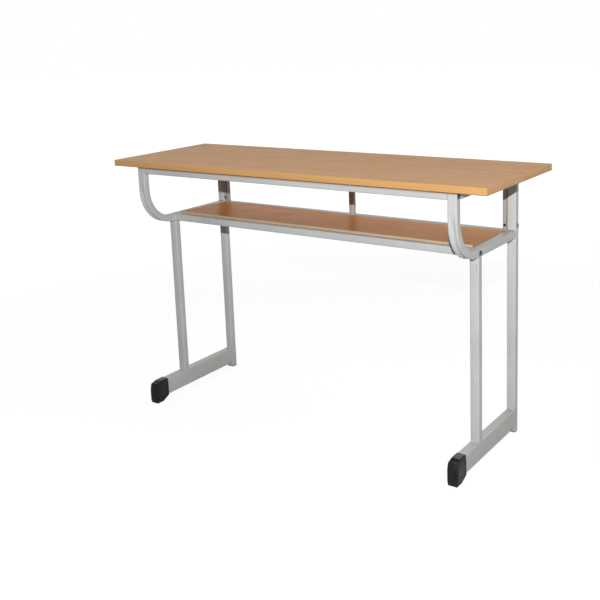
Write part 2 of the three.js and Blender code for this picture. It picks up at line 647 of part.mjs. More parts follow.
function addShelf(parent) {
  const shelf = new THREE.Group();
  shelf.position.set(0, SHELF_FRONT, SHELF_FRONT_BOTTOM);
  shelf.rotation.x = -SHELF_TILT;
  parent.add(shelf);
  shelf.updateMatrixWorld(true);
  const toShelf = shelf.matrixWorld.clone().invert();

  const cleatX = Array.from({ length: CLEAT_COUNT }, (_, i) => (
    (i - (CLEAT_COUNT - 1) / 2) * CLEAT_PITCH
  ));
  const bores = [];
  for (const [end, railFace, inward] of [
    ['front', UPRIGHT_Y + RAIL_SIZE / 2, 1], ['rear', POST_FRONT, -1],
  ]) {
    const screwY = railFace + (inward * CLEAT_REACH) / 2;
    const headDrop = SCREW_HEAD_DIAMETER * Math.tan(SHELF_TILT);
    const seat = shelfUnderside(screwY) - FIT - CLEAT_PLATE - headDrop;
    const tip = shelfUnderside(screwY) + SCREW_IN_SHELF;
    cleatX.forEach((x, i) => {
      const bore = drill('z', SCREW_BORE, tip + FIT - seat, [x, screwY, seat]);
      bores.push(bore.applyMatrix4(toShelf));
      piece(parent, `shelf_screw_${end}_${i + 1}`, screwGeometry(tip - seat), zincSteel,
        [x, screwY, seat]);
      piece(parent, `shelf_cleat_${end}_${i + 1}`, cleatGeometry(railFace, inward), frameGrey,
        [x, 0, 0]);
    });
  }

  const halfLength = FRAME_INNER - SHELF_GAP;
  const depth = (POST_FRONT - SHELF_GAP - SHELF_FRONT) / Math.cos(SHELF_TILT)
    - SHELF_THICKNESS * Math.tan(SHELF_TILT);
  const board = block([-halfLength, SHELF_BAND, 0], [halfLength, depth, SHELF_THICKNESS]);
  piece(shelf, 'shelf_board', cut(board, ...bores), shelfWood);
  const band = block([-halfLength, 0, 0], [halfLength, SHELF_BAND, SHELF_THICKNESS]);
  piece(shelf, 'shelf_front_band', band, bandCream);
}

const desk = new THREE.Group();
desk.name = 'school_desk';
addDesktop(desk);
addShelf(desk);
addCrossRails(desk);
addEndFrame(desk, 'left', -1);
addEndFrame(desk, 'right', 1);

export default desk;
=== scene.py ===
"""The looks of a school desk: wood-look desktop and book shelf on a painted steel tube frame.

Lengths are in metres, +Z up, +X along the desk, -Y towards the pupils.
"""

import json
import math

import bmesh
import bpy
from mathutils import Matrix, Vector


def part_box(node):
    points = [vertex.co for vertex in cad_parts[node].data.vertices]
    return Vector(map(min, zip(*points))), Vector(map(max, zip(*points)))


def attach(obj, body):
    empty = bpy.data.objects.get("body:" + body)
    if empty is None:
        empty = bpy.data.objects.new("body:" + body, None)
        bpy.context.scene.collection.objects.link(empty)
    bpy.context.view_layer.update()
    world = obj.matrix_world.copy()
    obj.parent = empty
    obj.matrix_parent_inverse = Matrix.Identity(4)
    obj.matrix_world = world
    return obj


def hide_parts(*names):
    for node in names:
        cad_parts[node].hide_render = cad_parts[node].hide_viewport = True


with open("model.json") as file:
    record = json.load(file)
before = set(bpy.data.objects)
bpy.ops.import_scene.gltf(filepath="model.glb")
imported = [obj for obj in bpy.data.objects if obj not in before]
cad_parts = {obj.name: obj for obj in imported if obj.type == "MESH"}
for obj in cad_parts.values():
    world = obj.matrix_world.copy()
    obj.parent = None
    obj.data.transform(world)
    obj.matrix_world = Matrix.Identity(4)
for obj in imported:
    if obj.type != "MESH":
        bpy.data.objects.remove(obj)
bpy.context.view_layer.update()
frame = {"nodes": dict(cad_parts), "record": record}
NODES = frame["nodes"]
SUBPARTS = frame["record"]["subparts"]
MM = 0.001
SIDES = (("left", -1), ("right", 1))

# The photograph's camera, fitted to the straight edges of the desk. Angles are in degrees
IMAGE_SIZE = 600
FOCAL_PIXELS = 909.0
CENTRE_PIXEL = (328.1, 194.8)
CAMERA_PLACE = (1.4405, -2.0525, 1.1168)
CAMERA_AZIMUTH = 34.51
CAMERA_ELEVATION = 10.44
CAMERA_ROLL = -1.91
SENSOR_WIDTH = 36.0

# Light: one lamp just above the camera, and a studio that is brightest above and behind
LAMP_PLACE = (1.44, -2.05, 1.325)
LAMP_WATTS = 222.0
LAMP_RADIUS = 0.012
LAMP_COLOUR = (1.0, 0.995, 0.985)
STUDIO_AXIS = (-0.2, 0.82, 0.53)
STUDIO_DIM = 0.02
STUDIO_BRIGHT = 0.9
STUDIO_TINT = (1.0, 0.985, 0.955, 1)
WHITE = (1, 1, 1, 1)

# The floor's own tone, and how much it glows near the desk and far from it
FLOOR_SIZE = 40
FLOOR_TONE = (0.2, 0.2, 0.2, 1)
FLOOR_NEAR = 1.2
FLOOR_FAR = 3.5
FLOOR_GLOW_NEAR = 0.88
FLOOR_GLOW_FAR = 1.0

# Most values of a noise lie between these two
NOISE_LOW = 0.3
NOISE_HIGH = 0.7


# Node helpers


class Tree:
    """A short way to write a node tree."""

    def __init__(self, owner):
        owner.use_nodes = True
        self.tree = owner.node_tree
        self.tree.nodes.clear()

    def feed(self, value, socket):
        """Links an output to a socket, or sets the socket's own value."""
        if isinstance(value, bpy.types.NodeSocket):
            self.tree.links.new(value, socket)
        else:
            socket.default_value = value

    def node(self, kind, *values, **inputs):
        """A new shader node, its inputs given in order, or by name with _ for a space."""
        node = self.tree.nodes.new("ShaderNode" + kind)
        for value, socket in zip(values, node.inputs):
            self.feed(value, socket)
        for name, value in inputs.items():
            self.feed(value, node.inputs[name.replace("_", " ")])
        return node

    def math(self, operation, *values):
        node = self.node("Math", *values)
        node.operation = operation
        return node.outputs[0]

    def vector_math(self, operation, *vectors):
        """The number that an operation makes of its vectors."""
        node = self.node("VectorMath", *vectors)
        node.operation = operation
        return node.outputs["Value"]

    def ramped(self, value, start, end, first=0.0, last=1.0):
        """Goes smoothly from one result at the start to the other at the end."""
        if start > end:
            start, end, first, last = end, start, last, first
        node = self.node("MapRange", Value=value, From_Min=start, From_Max=end,
                         To_Min=first, To_Max=last)
        node.interpolation_type = "SMOOTHSTEP"
        return node.outputs["Result"]

    def seen_rays(self):
        """1 on rays that show the background: straight from the camera, mirrored or let through."""
        path = self.node("LightPath")
        seen = path.outputs["Is Camera Ray"]
        for kind in ("Is Glossy Ray", "Is Transmission Ray"):
            seen = self.math("MAXIMUM", seen, path.outputs[kind])
        return seen


class Look(Tree):
    """A material with one shader, laid out in the object's own coordinates.

    Values given by name are constants on the shader's own sockets.
    """

    def __init__(self, name, **constants):
        self.name = name
        self.material = bpy.data.materials.new(name)
        super().__init__(self.material)
        self.shader = self.node("BsdfPrincipled", **constants)
        self.node("OutputMaterial", Surface=self.shader.outputs["BSDF"])
        self.place = self.node("TexCoord").outputs["Object"]

    def noise(self, scale, detail=4.0, roughness=0.5, stretch=(1, 1, 1), distortion=0.0):
        place = self.node("Mapping", Vector=self.place, Scale=stretch)
        noise = self.node("TexNoise", Vector=place.outputs["Vector"], Scale=scale,
                          Detail=detail, Roughness=roughness, Distortion=distortion)
        return noise.outputs["Fac"]

    def ramp(self, factor, *stops):
        """Colours or greys at places along a factor: (place, colour)."""
        node = self.node("ValToRGB", Fac=factor)
        elements = node.color_ramp.elements
        while len(elements) < len(stops):
            elements.new(0.5)
        for element, (place, colour) in zip(elements, stops):
            element.position = place
            if isinstance(colour, (int, float)):
                colour = (colour, colour, colour)
            element.color = (*colour, 1)
        return node.outputs["Color"]

    def between(self, noise, low, high):
        """A colour or number that goes from low to high with a noise."""
        return self.ramp(noise, (NOISE_LOW, low), (NOISE_HIGH, high))

    def uneven(self, scale, low, high, **noise):
        """A colour or number that wanders between two."""
        return self.between(self.noise(scale, **noise), low, high)

    def patches(self, scale, low, high, **noise):
        """0 where a noise is under one value and 1 where it is over the other."""
        return self.ramp(self.noise(scale, **noise), (low, 0.0), (high, 1.0))

    def cover(self, tone, colour, *shares):
        """A tone with another colour laid over it, by the product of the shares."""
        share = shares[0]
        for other in shares[1:]:
            share = self.math("MULTIPLY", share, other)
        node = self.node("Mix")
        node.data_type = "RGBA"
        under, over = [socket for socket in node.inputs if socket.type == "RGBA"]
        self.feed(share, node.inputs["Factor"])
        self.feed(tone, under)
        self.feed((*colour, 1), over)
        return next(socket for socket in node.outputs if socket.type == "RGBA")

    def separate(self, vector):
        """The x, y and z of a vector."""
        return self.node("SeparateXYZ", Vector=vector).outputs

    def axes(self):
        """The object's own x, y and z at the shaded point, x counted from the middle."""
        x, y, z = self.separate(self.place)
        return self.math("ABSOLUTE", x), y, z

    def facing_up(self):
        """How far the surface faces up, 1 where it is level."""
        return self.separate(self.node("NewGeometry").outputs["True Normal"])["Z"]

    def within(self, value, centre, reach):
        """1 where a value is nearer to the centre than the reach."""
        offset = self.math("ABSOLUTE", self.math("SUBTRACT", value, centre))
        return self.math("LESS_THAN", offset, reach)

    def bump(self, height, distance):
        return self.node("Bump", Strength=1.0, Distance=distance, Height=height).outputs["Normal"]

    def finish(self, colour, roughness, normal):
        self.feed(colour, self.shader.inputs["Base Color"])
        self.feed(roughness, self.shader.inputs["Roughness"])
        self.feed(normal, self.shader.inputs["Normal"])
        return self


# Camera, lights and floor


def camera_turn():
    """The camera's rotation: seen from its azimuth and elevation, then rolled."""
    azimuth = math.radians(CAMERA_AZIMUTH)
    elevation = math.radians(CAMERA_ELEVATION)
    roll = math.radians(CAMERA_ROLL)
    back = Vector((
        math.sin(azimuth) * math.cos(elevation),
        -math.cos(azimuth) * math.cos(elevation),
        math.sin(elevation),
    ))
    level = Vector((0, 0, 1)).cross(back).normalized()
    upright = back.cross(level)
    right = math.cos(roll) * level + math.sin(roll) * upright
    up = -math.sin(roll) * level + math.cos(roll) * upright
    return Matrix((right, up, back)).transposed()


def make_camera():
    data = bpy.data.cameras.new("camera")
    camera = bpy.data.objects.new("camera", data)
    bpy.context.scene.collection.objects.link(camera)
    data.sensor_width = SENSOR_WIDTH
    data.lens = FOCAL_PIXELS / IMAGE_SIZE * SENSOR_WIDTH
    half = IMAGE_SIZE / 2
    data.shift_x = (half - CENTRE_PIXEL[0]) / IMAGE_SIZE
    data.shift_y = (CENTRE_PIXEL[1] - half) / IMAGE_SIZE
    camera.matrix_world = Matrix.Translation(CAMERA_PLACE) @ camera_turn().to_4x4()
    bpy.context.scene.camera = camera


def make_lamp():
    data = bpy.data.lights.new("key", "POINT")
    data.energy = LAMP_WATTS
    data.shadow_soft_size = LAMP_RADIUS
    data.color = LAMP_COLOUR
    lamp = bpy.data.objects.new("key", data)
    bpy.context.scene.collection.objects.link(lamp)
    lamp.location = LAMP_PLACE


def make_studio():
    """A world that lights softly along its axis, and is plain white where it is seen."""
    world = bpy.data.worlds.new("studio")
    bpy.context.scene.world = world
    t = Tree(world)
    direction = t.node("TexCoord").outputs["Generated"]
    facing = t.vector_math("DOT_PRODUCT", direction, STUDIO_AXIS)
    level = t.node("MapRange", Value=facing, To_Min=STUDIO_DIM, To_Max=STUDIO_BRIGHT)
    lit = t.node("Background", Color=STUDIO_TINT, Strength=level.outputs["Result"])
    seen = t.node("Background", Color=WHITE)
    both = t.node("MixShader", t.seen_rays(), lit.outputs[0], seen.outputs[0])
    t.node("OutputWorld", Surface=both.outputs[0])


def floor_material():
    """Matt grey that glows where it is seen: nearly white, and it still takes the shadow."""
    material = bpy.data.materials.new("floor")
    t = Tree(material)
    matt = t.node("BsdfDiffuse", Color=FLOOR_TONE)
    distance = t.vector_math("LENGTH", t.node("TexCoord").outputs["Object"])
    level = t.ramped(distance, FLOOR_NEAR, FLOOR_FAR, FLOOR_GLOW_NEAR, FLOOR_GLOW_FAR)
    glow = t.node("Emission", Strength=t.math("MULTIPLY", t.seen_rays(), level))
    both = t.node("AddShader", matt.outputs[0], glow.outputs[0])
    t.node("OutputMaterial", Surface=both.outputs[0])
    return material


def make_floor():
    bpy.ops.mesh.primitive_plane_add(size=FLOOR_SIZE)
    floor = bpy.context.object
    floor.name = "floor"
    floor.data.materials.append(floor_material())


# Colours


def srgb(red, green, blue):
    """A colour as it looks on screen, 0 to 255, as the linear numbers that nodes use."""
    def linear(value):
        share = value / 255
        return share / 12.92 if share <= 0.04045 else ((share + 0.055) / 1.055) ** 2.4
    return (linear(red), linear(green), linear(blue))


def scaled(colour, factor):
    return tuple(min(1.0, channel * factor) for channel in colour)


# Each paint wanders between two greys
FRAME_GREYS = (srgb(196, 198, 199), srgb(208, 210, 211))
# Painted light: a lighter copy of the frame's paint for the rear posts
POST_LIT_GREYS = (srgb(204, 205, 204), srgb(216, 217, 216))
# Painted shade: a darker copy of the frame's paint for the middle strut and rear shelf rail
REAR_SHADED_GREYS = (srgb(176, 172, 171), srgb(190, 186, 185))
# Painted shade: a darker, pinker copy of the frame's paint for the inner verticals
INNER_SHADED_GREYS = (srgb(172, 170, 171), srgb(186, 184, 185))
WELD_GREYS = (srgb(182, 183, 182), srgb(198, 199, 198))
SCUFF = srgb(140, 138, 132)
SPECK = srgb(120, 116, 108)
SCRATCH = srgb(132, 130, 126)
DUST = srgb(184, 184, 180)
# Painted shade: brown for the desktop's shadow on the frame close under it
UNDER_DESK_SHADE = srgb(170, 126, 78)
# A darker grey for the welds from 0.4 m up
WELD_DARK_TONE = srgb(124, 122, 117)
# Painted shade: the dark of a tube's hollow inside
HOLLOW_SHADE = srgb(26, 22, 20)
# Painted shade: a dark ring that makes a screw hole look larger
HOLE_RING_SHADE = srgb(52, 44, 40)
BACKING = srgb(128, 100, 72)
RAW_END = srgb(176, 160, 140)
# Glue line with painted shade: the desktop band's dark lower edge
GLUE_LINE_AND_SHADE = srgb(96, 68, 40)
PLASTIC_DARK = srgb(35, 35, 35)
PLASTIC_PALE = srgb(48, 48, 47)
PLASTIC_SCUFF = srgb(72, 70, 67)
# Dust and painted highlight on the shoes' level faces
PLASTIC_DUST_AND_SHEEN = srgb(104, 99, 98)

# Heights of the reliefs that are too fine for the meshes
PEEL_RELIEF = 0.04 * MM
GRAIN_RELIEF = 0.03 * MM
BAND_RELIEF = 0.04 * MM
SPARK_RELIEF = 0.08 * MM
TURNED_RELIEF = 0.02 * MM

# Dust lies on the foot bars: none above the first height, full below the second
DUST_TOP = 120 * MM
DUST_FULL = 55 * MM

# Painted shade, a brown band close under the desktop's lower face for its shadow and bounced light:
# how far down it reaches, and down to where it is full
UNDER_DESK_SHADE_REACH = 8.0 * MM
UNDER_DESK_SHADE_FULL = 4.5 * MM

# Scratches: x, height of the middle, length and width
SCRATCHES = (
    (512.5 * MM, 524 * MM, 34 * MM, 1.6 * MM),
    (514.5 * MM, 505 * MM, 12 * MM, 1.2 * MM),
    (501.0 * MM, 236 * MM, 26 * MM, 1.6 * MM),
    (503.5 * MM, 222 * MM, 14 * MM, 1.8 * MM),
    (497.0 * MM, 330 * MM, 5 * MM, 2.2 * MM),
)

# Inner verticals: how deep their painted dark inside starts, and the radius of the painted shade
# round a screw hole, whose edge fades between two shares of its square
INSIDE_MARGIN = 0.5 * MM
HOLE_SHADE_RADIUS = 4.0 * MM
HOLE_SHADE_FADE = (1.2, 0.8)

# Welds keep their own grey up to the first height and are darker from the second
WELDS_DARKEN_START = 400 * MM
WELDS_DARKEN_END = 500 * MM

# How far the boards' lower faces, raw ends and glue lines with their painted shade fade, and the
# height of the glue line and its painted shade
FACE_FADE = 0.2 * MM
END_FADE = 0.1 * MM
GLUE_AND_SHADE_FADE = 0.5 * MM
GLUE_AND_SHADE_HEIGHT = 1.2 * MM

# The upward share of the normal at which dust and a painted sheen start, and at which they are full
DUST_AND_SHEEN_SLOPES = (0.97, 0.995)


def middle(node):
    low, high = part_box(node)
    return (low + high) / 2


def painted(name, greys):
    """Grey paint with a cloudy tone, faint scuffs and dusty specks: the look and its tone."""
    n = Look(name, Metallic=0.0, Specular_IOR_Level=0.25)
    tone = n.uneven(9, *greys, detail=5)
    scuffs = n.patches(55, 0.69, 0.76, detail=6, roughness=0.7,
                       stretch=(1, 1, 0.07), distortion=0.4)
    tone = n.cover(tone, SCUFF, scuffs, 0.45)
    return n, n.cover(tone, SPECK, n.patches(260, 0.74, 0.8, detail=2), 0.25)


def finish_paint(n, tone):
    """Satin gloss over an orange-peel surface."""
    peel = n.bump(n.noise(900, detail=2), PEEL_RELIEF)
    return n.finish(tone, n.uneven(40, 0.26, 0.36), peel)


def scratched(n, tone):
    """A few broken dark scratches down the tubes of the right end frame."""
    x, _, z = n.separate(n.place)
    broken = n.patches(420, 0.42, 0.55, detail=3, stretch=(1, 1, 0.5))
    for across, height, length, width in SCRATCHES:
        tone = n.cover(tone, SCRATCH, n.within(x, across, width / 2),
                       n.within(z, height, length / 2), broken, 0.7)
    return tone


def powder_coat(name, greys):
    """The frame's paint, dusty on the foot bars, with painted brown shade close under the desktop.
    """
    n, tone = painted(name, greys)
    _, _, z = n.axes()
    dust = n.uneven(30, 0.25, 0.7, detail=6, roughness=0.7)
    tone = n.cover(tone, DUST, dust, n.ramped(z, DUST_TOP, DUST_FULL))
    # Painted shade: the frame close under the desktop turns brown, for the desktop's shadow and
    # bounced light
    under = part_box("desktop")[0].z
    under_desk_shade = n.ramped(z, under - UNDER_DESK_SHADE_REACH, under - UNDER_DESK_SHADE_FULL)
    return finish_paint(n, scratched(n, n.cover(tone, UNDER_DESK_SHADE, under_desk_shade, 0.6)))


def inner_vertical_shaded_paint():
    """Greyer paint, a darker copy of the frame's for painted shade, with painted shade inside the
    tube and in a ring round its screw holes.
    """
    n, tone = painted("inner_vertical_shaded_paint", INNER_SHADED_GREYS)
    low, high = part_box("inner_vertical_right")
    centre = middle("inner_vertical_right")
    x, y, z = n.axes()
    # Painted shade: the tube's inside nearly black
    tone = n.cover(tone, HOLLOW_SHADE,
                   n.within(x, centre.x, (high.x - low.x) / 2 - INSIDE_MARGIN),
                   n.within(y, centre.y, (high.y - low.y) / 2 - INSIDE_MARGIN))
    # Painted shade: a dark ring round each screw hole
    start, end = [share * HOLE_SHADE_RADIUS ** 2 for share in HOLE_SHADE_FADE]
    for bolt in ("bolt_post_low_right", "bolt_post_high_right"):
        across = n.math("POWER", n.math("SUBTRACT", x, centre.x), 2.0)
        along = n.math("POWER", n.math("SUBTRACT", z, middle(bolt).z), 2.0)
        near = n.ramped(n.math("ADD", across, along), start, end)
        tone = n.cover(tone, HOLE_RING_SHADE, near, 0.85)
    return finish_paint(n, tone)


def weld_paint():
    """Paint over a weld, darker higher up than near the floor."""
    n, tone = painted("weld_paint", WELD_GREYS)
    _, _, z = n.axes()
    # Darker from the first height up, all over the bead
    darker_high = n.ramped(z, WELDS_DARKEN_START, WELDS_DARKEN_END)
    return finish_paint(n, n.cover(tone, WELD_DARK_TONE, darker_high, 0.8))


def laminate(name, pale, dark, red, gloss, shine, clouds, under, end):
    """Printed wood grain that runs along the desk, with short pores, under a smooth clear film.

    gloss is the least roughness, clouds how much of the red tone shows, under the height of the
    plainer lower face, and end how far from the middle the board's raw end faces stand.
    """
    n = Look(name, Metallic=0.0, Specular_IOR_Level=shine)
    grain = n.noise(5, detail=9, roughness=0.62, stretch=(0.9, 34, 34), distortion=0.5)
    tone = n.ramp(grain, (0.3, dark), (0.52, pale), (0.75, scaled(pale, 1.05)))
    bands = n.patches(2.2, 0.35, 0.65, stretch=(0.5, 9, 9), distortion=0.8)
    tone = n.cover(tone, red, bands, clouds)
    pores = n.patches(30, 0.6, 0.7, detail=5, roughness=0.7, stretch=(0.7, 13, 13))
    tone = n.cover(tone, scaled(dark, 0.62), pores, 0.22)
    x, _, z = n.axes()
    tone = n.cover(tone, BACKING, n.ramped(z, under + FACE_FADE, under))
    tone = n.cover(tone, RAW_END, n.ramped(x, end - END_FADE, end))
    roughness = n.uneven(14, gloss, gloss + 0.1, detail=6)
    return n.finish(tone, roughness, n.bump(grain, GRAIN_RELIEF))


def edge_band(name, pale, dark, glue_and_shade_line):
    """Plastic edge band with a faint printed grain, small rubbed marks and a dark lower edge.

    The last argument is the height up to which the lower edge is dark: grime on the trimmed glue
    line, and painted shade that widens the shadow under the desktop's edge.
    """
    n = Look(name, Metallic=0.0, Specular_IOR_Level=0.4)
    grain = n.noise(6, detail=6, stretch=(1.2, 1.2, 60), distortion=0.3)
    rubbed = n.patches(24, 0.62, 0.72, detail=5, roughness=0.7)
    tone = n.cover(n.between(grain, dark, pale), scaled(pale, 1.25), rubbed, 0.2)
    _, _, z = n.axes()
    # Glue line and painted shade: the band's lower edge is darkened, widening the shadow under the
    # desktop's edge
    tone = n.cover(tone, GLUE_LINE_AND_SHADE, n.ramped(z, glue_and_shade_line + GLUE_AND_SHADE_FADE, glue_and_shade_line), 0.8)
    return n.finish(tone, n.uneven(50, 0.38, 0.52), n.bump(grain, BAND_RELIEF))


def moulded_black():
    """Black moulded plastic with a fine spark texture, dull scuffs, and dust with a painted sheen
    on level faces.
    """
    n = Look("black_plastic", Metallic=0.0, Specular_IOR_Level=0.08)
    cloud = n.noise(38, detail=5)
    tone = n.ramp(cloud, (0.35, PLASTIC_DARK), (0.7, PLASTIC_PALE))
    scuffs = n.patches(160, 0.64, 0.76, detail=6, roughness=0.75)
    tone = n.cover(tone, PLASTIC_SCUFF, scuffs, 0.35)
    # Dust and painted highlight: level faces lighter, standing in for their glossy reflection
    dust = n.ramp(n.noise(60, detail=2), (0.4, 0.6), (0.6, 1.0))
    tone = n.cover(tone, PLASTIC_DUST_AND_SHEEN, n.ramped(n.facing_up(), *DUST_AND_SHEEN_SLOPES), dust)
    spark = n.bump(n.noise(1500, detail=3), SPARK_RELIEF)
    return n.finish(tone, n.between(cloud, 0.16, 0.3), spark)


def metal(name, pale, dark, low, high):
    """Bare or plated steel with turned marks and uneven tone, its roughness from low to high."""
    n = Look(name, Metallic=1.0)
    tone = n.uneven(120, dark, pale, detail=5, roughness=0.6)
    roughness = n.uneven(400, low, high, detail=3)
    return n.finish(tone, roughness, n.bump(n.noise(2500, detail=2), TURNED_RELIEF))


def paint_looks():
    return [
        powder_coat("frame_paint", FRAME_GREYS),
        # Painted light: the rear posts' lighter paint
        powder_coat("post_lit_paint", POST_LIT_GREYS),
        # Painted shade: the middle strut's and rear shelf rail's darker paint
        finish_paint(*painted("rear_shaded_paint", REAR_SHADED_GREYS)),
        # Painted shade: the inner verticals' darker paint
        inner_vertical_shaded_paint(),
        weld_paint(),
    ]


def board_looks():
    under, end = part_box("desktop")[0].z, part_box("desktop")[1].x
    return [
        laminate(
            "desktop_laminate", srgb(219, 171, 120), srgb(199, 147, 95), srgb(214, 156, 110),
            gloss=0.45, shine=0.1, clouds=0.35, under=under, end=end),
        laminate(
            "shelf_laminate", srgb(224, 160, 78), srgb(206, 130, 50), srgb(224, 122, 48),
            gloss=0.33, shine=0.05, clouds=0.6, under=0.0, end=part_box("shelf_board")[1].x),
        edge_band("desktop_band", srgb(217, 169, 108), srgb(208, 157, 93), under + GLUE_AND_SHADE_HEIGHT),
        edge_band("shelf_band", srgb(216, 190, 158), srgb(198, 168, 132), 0.0),
    ]


def metal_looks():
    return [
        metal("bolt_steel", srgb(96, 94, 90), srgb(60, 58, 56), low=0.35, high=0.5),
        metal("bolt_steel_rear", srgb(150, 151, 152), srgb(120, 121, 122), low=0.4, high=0.55),
        metal("zinc_steel", srgb(190, 192, 194), srgb(160, 162, 165), low=0.28, high=0.42),
    ]


LOOKS = paint_looks() + board_looks() + metal_looks() + [moulded_black()]
MATERIALS = {look.name: look.material for look in LOOKS}

# CAD nodes whose names start like this don't take the material of their slot, but a copy of the
# frame's paint: a lighter one for painted light on the rear posts, darker ones for painted shade on
# the others
OWN_LOOKS = {
    "inner_vertical": "inner_vertical_shaded_paint",
    "middle_strut": "rear_shaded_paint",
    "rear_shelf_rail": "rear_shaded_paint",
    "rear_post": "post_lit_paint",
}


# CAD nodes. Edges that turn by more than an angle in degrees stay sharp, here and below

CAD_SHARP = 35
MERGE_DISTANCE = 0.01 * MM


def smooth_by_angle():
    """A node group that joins split corners and shades smooth across gentle edges."""
    group = bpy.data.node_groups.new("smooth_by_angle", "GeometryNodeTree")
    group.interface.new_socket("Geometry", in_out="INPUT", socket_type="NodeSocketGeometry")
    group.interface.new_socket("Geometry", in_out="OUTPUT", socket_type="NodeSocketGeometry")
    nodes = group.nodes
    entry = nodes.new("NodeGroupInput")
    merge = nodes.new("GeometryNodeMergeByDistance")
    merge.inputs["Distance"].default_value = MERGE_DISTANCE
    faces = nodes.new("GeometryNodeSetShadeSmooth")
    faces.domain = "FACE"
    edges = nodes.new("GeometryNodeSetShadeSmooth")
    edges.domain = "EDGE"
    angle = nodes.new("GeometryNodeInputMeshEdgeAngle")
    gentle = nodes.new("FunctionNodeCompare")
    gentle.operation = "LESS_THAN"
    gentle.inputs[1].default_value = math.radians(CAD_SHARP)
    leave = nodes.new("NodeGroupOutput")
    chain = [entry.outputs[0], merge.inputs[0], merge.outputs[0], faces.inputs["Geometry"],
             faces.outputs[0], edges.inputs["Geometry"], edges.outputs[0], leave.inputs[0]]
    for source, target in zip(chain[::2], chain[1::2]):
        group.links.new(source, target)
    group.links.new(angle.outputs["Unsigned Angle"], gentle.inputs[0])
    group.links.new(gentle.outputs["Result"], edges.inputs["Shade Smooth"])
    return group


def look_of(part):
    for start, look in OWN_LOOKS.items():
        if part["node"].startswith(start):
            return look
    return part["material_slot"]


def dress_cad_nodes():
    smoothing = smooth_by_angle()
    for part in SUBPARTS:
        node = NODES[part["node"]]
        node.data.materials.clear()
        node.data.materials.append(MATERIALS[look_of(part)])
        if "custom_normal" in node.data.attributes:
            node.data.attributes.remove(node.data.attributes["custom_normal"])
        modifier = node.modifiers.new("smooth", "NODES")
        modifier.node_group = smoothing


# Pieces made here


def smooth_step(value):
    value = max(0.0, min(1.0, value))
    return value * value * (3 - 2 * value)


def skin(bm, rings):
    """Quads from ring to ring, and a face across the first ring and the last."""
    for before, after in zip(rings, rings[1:]):
        for j in range(len(before)):
            k = (j + 1) % len(before)
            bm.faces.new((before[j], before[k], after[k], after[j]))
    bm.faces.new(rings[0])
    bm.faces.new(rings[-1])


def new_piece(name, bm, slot, sharp, replaced=None, look=None):
    """A smoothly shaded object from a bmesh, painted by its slot or a look, riding on the desk."""
    mesh = bpy.data.meshes.new(name)
    bmesh.ops.recalc_face_normals(bm, faces=bm.faces)
    bm.to_mesh(mesh)
    bm.free()
    mesh.materials.append(MATERIALS[look or slot])
    for polygon in mesh.polygons:
        polygon.use_smooth = True
    mesh.set_sharp_from_angle(angle=math.radians(sharp))
    piece = bpy.data.objects.new(name, mesh)
    bpy.context.scene.collection.objects.link(piece)
    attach(piece, "root")
    if replaced:
        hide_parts(replaced)


# Bent tubes: the bend has drawn the outer wall in between two ridges, and rippled the inner wall

TUBE_DEPTH = 20 * MM
TUBE_CORNER = 2.4 * MM
CORNER_STEPS = 5
BEND_RADIUS = 100 * MM
BEND_STATIONS = 40
DRAW_IN = 4.6 * MM
DRAW_RIDGE = 2.6 * MM
DRAW_FLANK = 4.2 * MM
DRAW_LEAD = 18 * MM
DRAW_END = 6 * MM
INNER_DENT = 0.7 * MM
INNER_WAVE = 17 * MM
INNER_WAVE_SHARE = 0.35
SIDE_SWELL = 0.35 * MM
SWELL_PLACE = 0.25
ON_FACE = 0.01 * MM
TUBE_SHARP = 40

# Where points stand, as shares: across a flank, the inner face and a side of the section, and
# down the straight drop and along the straight run
FLANK_SHARES = (0, 0.2, 0.4, 0.6, 0.8, 1)
INNER_SHARES = (0.66, 0.33, 0.0, -0.33, -0.66)
SIDE_SHARES = (0.5, 0.0, -0.5)
DROP_SHARES = (0, 0.25, 0.5, 0.62, 0.74, 0.86)
RUN_SHARES = (0.01, 0.02, 0.03, 0.2, 0.4, 0.6, 0.8, 1)


def tube_section(half_width, half_depth):
    """Points round a rounded rectangle: across first, then out of the bend."""
    flat = half_width - TUBE_CORNER
    across = [flat - DRAW_RIDGE - share * DRAW_FLANK for share in FLANK_SHARES]
    outer = [-u for u in across] + [0.0] + across[::-1]
    inner = [flat * share for share in INNER_SHARES]
    side = [(half_depth - TUBE_CORNER) * share for share in SIDE_SHARES]
    points = [(u, half_depth) for u in outer]
    corners = ((1, 1, 90), (1, -1, 0), (-1, -1, -90), (-1, 1, -180))
    between = ([(half_width, v) for v in side], [(u, -half_depth) for u in inner],
               [(-half_width, -v) for v in side], [])
    for (sign_u, sign_v, start), following in zip(corners, between):
        for i in range(CORNER_STEPS + 1):
            angle = math.radians(start - 90 * i / CORNER_STEPS)
            points.append((
                sign_u * flat + TUBE_CORNER * math.cos(angle),
                sign_v * (half_depth - TUBE_CORNER) + TUBE_CORNER * math.sin(angle),
            ))
        points += following
    return points


def draw_in(u, v, half_width, half_depth, bent, along):
    """Where a point of the section goes at a place that is bent by a share of the full bend."""
    flat = half_width - TUBE_CORNER
    if v > half_depth - ON_FACE:
        v -= DRAW_IN * bent * smooth_step((flat - DRAW_RIDGE - abs(u)) / DRAW_FLANK)
    elif v < ON_FACE - half_depth:
        ripple = math.sin(2 * math.pi * along / INNER_WAVE)
        wave = 1 - INNER_WAVE_SHARE + INNER_WAVE_SHARE * ripple
        v += INNER_DENT * bent * wave * smooth_step((flat - abs(u)) / flat)
    swell = math.cos(math.pi / 2 * min(1.0, abs(v / half_depth + SWELL_PLACE)))
    if abs(u) > flat:
        u += math.copysign(SIDE_SWELL * bent * swell, u)
    return u, v


